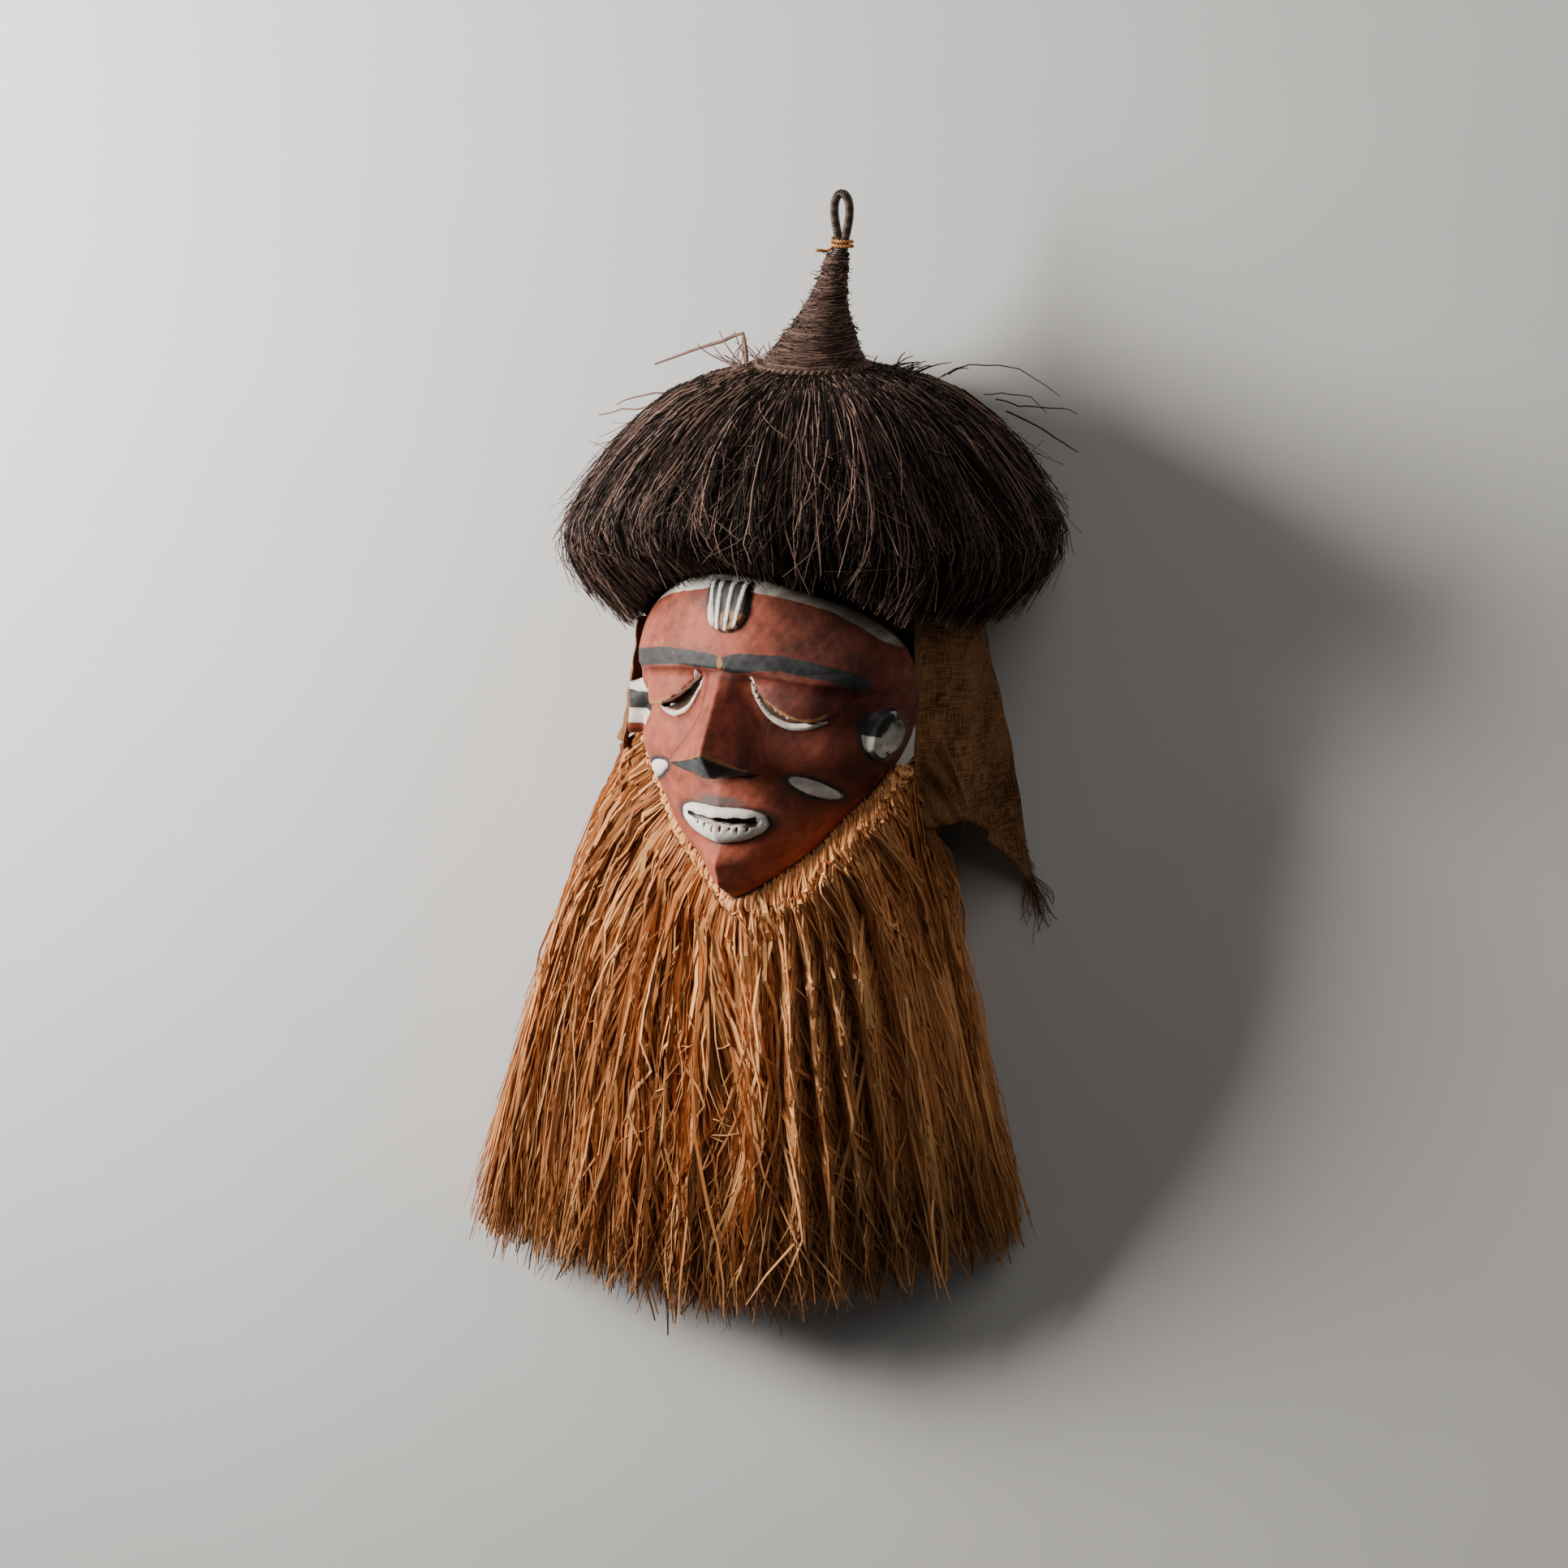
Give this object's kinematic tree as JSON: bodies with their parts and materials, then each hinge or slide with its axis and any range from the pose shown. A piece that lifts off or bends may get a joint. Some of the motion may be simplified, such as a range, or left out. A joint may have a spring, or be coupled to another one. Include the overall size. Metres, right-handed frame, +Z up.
{
  "type": "pende mask",
  "caption": "Hollow carved wooden face mask with a fibre hair dome and wound spire, hanging loop, woven hood cloth, knotted jaw band and long raffia beard, lying on its back.",
  "frame": {"origin": "on the floor, under the middle of the whole object's box as it lies on its back", "axes": "+Z up, +Y from the beard's ends to the crown and the loop, +X to the right of someone who faces the mask"},
  "size_m": [0.4772, 0.8686, 0.2943],
  "materials": {
    "face": "carved wood with worn matt red earth paint, white kaolin and soot black",
    "spire": "wound grey-brown plant fibre",
    "loop": "tightly wrapped dark cord, polished by handling",
    "tie": "pale twisted cord",
    "collar": "knotted raffia",
    "hair": "coarse dark brown plant fibre",
    "beard": "dry raffia strips with a slight sheen",
    "cloth": "woven raffia cloth, frayed at the edges"
  },
  "bodies": {
    "root": {"face_mask": "face", "spire_cap": "spire", "hanging_loop": "loop", "loop_tie": "tie", "raffia_collar": "collar", "hair_fringe": "hair", "raffia_beard": "beard", "hood_cloth": "cloth"}
  },
  "joints": []
}
